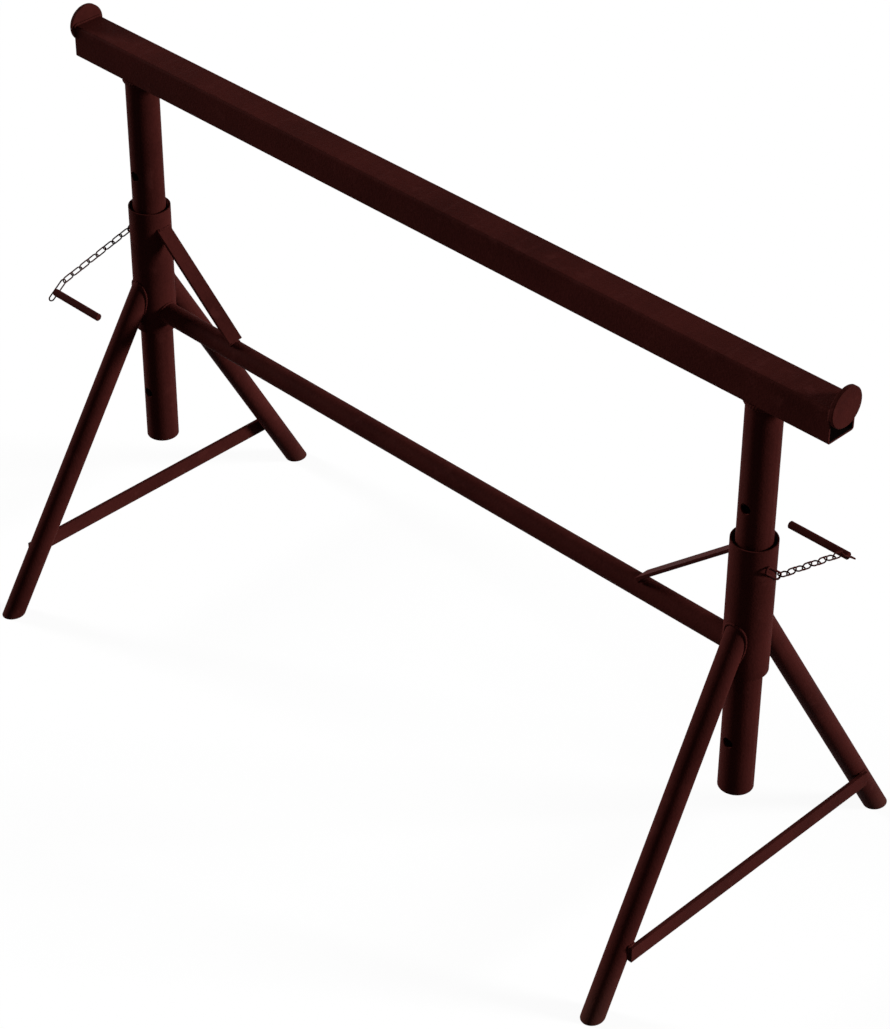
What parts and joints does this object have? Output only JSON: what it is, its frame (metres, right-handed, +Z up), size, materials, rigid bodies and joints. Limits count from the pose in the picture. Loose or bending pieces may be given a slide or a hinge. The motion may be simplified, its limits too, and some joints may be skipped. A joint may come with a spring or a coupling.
{
  "type": "builders trestle",
  "caption": "Welded tube trestle with a square top beam that slides up and down on posts in sleeves, locked by pins on chains, on splayed legs.",
  "frame": {"origin": "on the floor, under the middle of the beam", "axes": "+X along the beam to the right end, +Y to the back, +Z up"},
  "size_m": [1.452, 0.6524, 0.9282],
  "materials": {
    "stand_red": "dark red oxide paint, matt",
    "top_red": "dark red oxide paint, matt",
    "chain_red": "dark red oxide paint on wire and round bar"
  },
  "bodies": {
    "stand": {"sleeve_right": "stand_red", "sleeve_left": "stand_red", "leg_right_front": "stand_red", "leg_right_back": "stand_red", "leg_left_front": "stand_red", "leg_left_back": "stand_red", "leg_bar_right": "stand_red", "leg_bar_left": "stand_red", "stretcher": "stand_red", "diagonal_right": "stand_red", "diagonal_left": "stand_red", "eye_right": "chain_red", "eye_left": "chain_red"},
    "top": {"top_beam": "top_red", "end_stop_right": "top_red", "end_stop_left": "top_red", "post_right": "top_red", "post_left": "top_red"},
    "link_right_1": {"link_right_1": "chain_red"},
    "link_right_2": {"link_right_2": "chain_red"},
    "link_right_3": {"link_right_3": "chain_red"},
    "link_right_4": {"link_right_4": "chain_red"},
    "link_right_5": {"link_right_5": "chain_red"},
    "link_right_6": {"link_right_6": "chain_red"},
    "link_right_7": {"link_right_7": "chain_red"},
    "link_right_8": {"link_right_8": "chain_red"},
    "end_link_right": {"end_link_right": "chain_red"},
    "pin_right": {"pin_right": "chain_red"},
    "link_left_1": {"link_left_1": "chain_red"},
    "link_left_2": {"link_left_2": "chain_red"},
    "link_left_3": {"link_left_3": "chain_red"},
    "link_left_4": {"link_left_4": "chain_red"},
    "link_left_5": {"link_left_5": "chain_red"},
    "link_left_6": {"link_left_6": "chain_red"},
    "link_left_7": {"link_left_7": "chain_red"},
    "link_left_8": {"link_left_8": "chain_red"},
    "end_link_left": {"end_link_left": "chain_red"},
    "pin_left": {"pin_left": "chain_red"}
  },
  "joints": [
    {"name": "height_slide", "type": "slide", "parent": "stand", "child": "top", "axis": [0, 0, 1], "range_m": [-0.2, 0.34]},
    {"name": "right_link_1_swing", "type": "hinge", "parent": "stand", "child": "link_right_1", "pos_m": [0.6338, 0.01716, 0.58195], "axis": [0, -0.2588, -0.9659], "range_deg": [-5, 75]},
    {"name": "right_link_2_swing", "type": "hinge", "parent": "link_right_1", "child": "link_right_2", "pos_m": [0.6338, 0.03324, 0.57764], "axis": [-1, 0, 0], "range_deg": [-50, 42]},
    {"name": "right_link_3_swing", "type": "hinge", "parent": "link_right_2", "child": "link_right_3", "pos_m": [0.6338, 0.04971, 0.57323], "axis": [0, 0.2588, 0.9659], "range_deg": [-50, 50]},
    {"name": "right_link_4_swing", "type": "hinge", "parent": "link_right_3", "child": "link_right_4", "pos_m": [0.6338, 0.06618, 0.56881], "axis": [1, 0, 0], "range_deg": [-50, 50]},
    {"name": "right_link_5_swing", "type": "hinge", "parent": "link_right_4", "child": "link_right_5", "pos_m": [0.6338, 0.08265, 0.5644], "axis": [0, -0.2588, -0.9659], "range_deg": [-50, 50]},
    {"name": "right_link_6_swing", "type": "hinge", "parent": "link_right_5", "child": "link_right_6", "pos_m": [0.6338, 0.09912, 0.55999], "axis": [-1, 0, 0], "range_deg": [-50, 50]},
    {"name": "right_link_7_swing", "type": "hinge", "parent": "link_right_6", "child": "link_right_7", "pos_m": [0.6338, 0.11559, 0.55558], "axis": [0, 0.2588, 0.9659], "range_deg": [-50, 50]},
    {"name": "right_link_8_swing", "type": "hinge", "parent": "link_right_7", "child": "link_right_8", "pos_m": [0.6338, 0.13205, 0.55116], "axis": [1, 0, 0], "range_deg": [-50, 50]},
    {"name": "right_end_link_swing", "type": "hinge", "parent": "link_right_8", "child": "end_link_right", "pos_m": [0.6338, 0.14852, 0.54675], "axis": [0, -0.2588, -0.9659], "range_deg": [-50, 50]},
    {"name": "right_pin_turn", "type": "hinge", "parent": "end_link_right", "child": "pin_right", "pos_m": [0.6291, 0.1646, 0.53419], "axis": [0, 0.788, -0.6157], "range_deg": [-90, 90]},
    {"name": "left_link_1_swing", "type": "hinge", "parent": "stand", "child": "link_left_1", "pos_m": [-0.6338, -0.01716, 0.58195], "axis": [0, 0.2588, -0.9659], "range_deg": [-5, 75]},
    {"name": "left_link_2_swing", "type": "hinge", "parent": "link_left_1", "child": "link_left_2", "pos_m": [-0.6338, -0.03324, 0.57764], "axis": [1, 0, 0], "range_deg": [-50, 42]},
    {"name": "left_link_3_swing", "type": "hinge", "parent": "link_left_2", "child": "link_left_3", "pos_m": [-0.6338, -0.04971, 0.57323], "axis": [0, -0.2588, 0.9659], "range_deg": [-50, 50]},
    {"name": "left_link_4_swing", "type": "hinge", "parent": "link_left_3", "child": "link_left_4", "pos_m": [-0.6338, -0.06618, 0.56881], "axis": [-1, 0, 0], "range_deg": [-50, 50]},
    {"name": "left_link_5_swing", "type": "hinge", "parent": "link_left_4", "child": "link_left_5", "pos_m": [-0.6338, -0.08265, 0.5644], "axis": [0, 0.2588, -0.9659], "range_deg": [-50, 50]},
    {"name": "left_link_6_swing", "type": "hinge", "parent": "link_left_5", "child": "link_left_6", "pos_m": [-0.6338, -0.09912, 0.55999], "axis": [1, 0, 0], "range_deg": [-50, 50]},
    {"name": "left_link_7_swing", "type": "hinge", "parent": "link_left_6", "child": "link_left_7", "pos_m": [-0.6338, -0.11559, 0.55558], "axis": [0, -0.2588, 0.9659], "range_deg": [-50, 50]},
    {"name": "left_link_8_swing", "type": "hinge", "parent": "link_left_7", "child": "link_left_8", "pos_m": [-0.6338, -0.13205, 0.55116], "axis": [-1, 0, 0], "range_deg": [-50, 50]},
    {"name": "left_end_link_swing", "type": "hinge", "parent": "link_left_8", "child": "end_link_left", "pos_m": [-0.6338, -0.14852, 0.54675], "axis": [0, 0.2588, -0.9659], "range_deg": [-50, 50]},
    {"name": "left_pin_turn", "type": "hinge", "parent": "end_link_left", "child": "pin_left", "pos_m": [-0.6291, -0.1646, 0.53419], "axis": [0, -0.788, -0.6157], "range_deg": [-90, 90]}
  ]
}
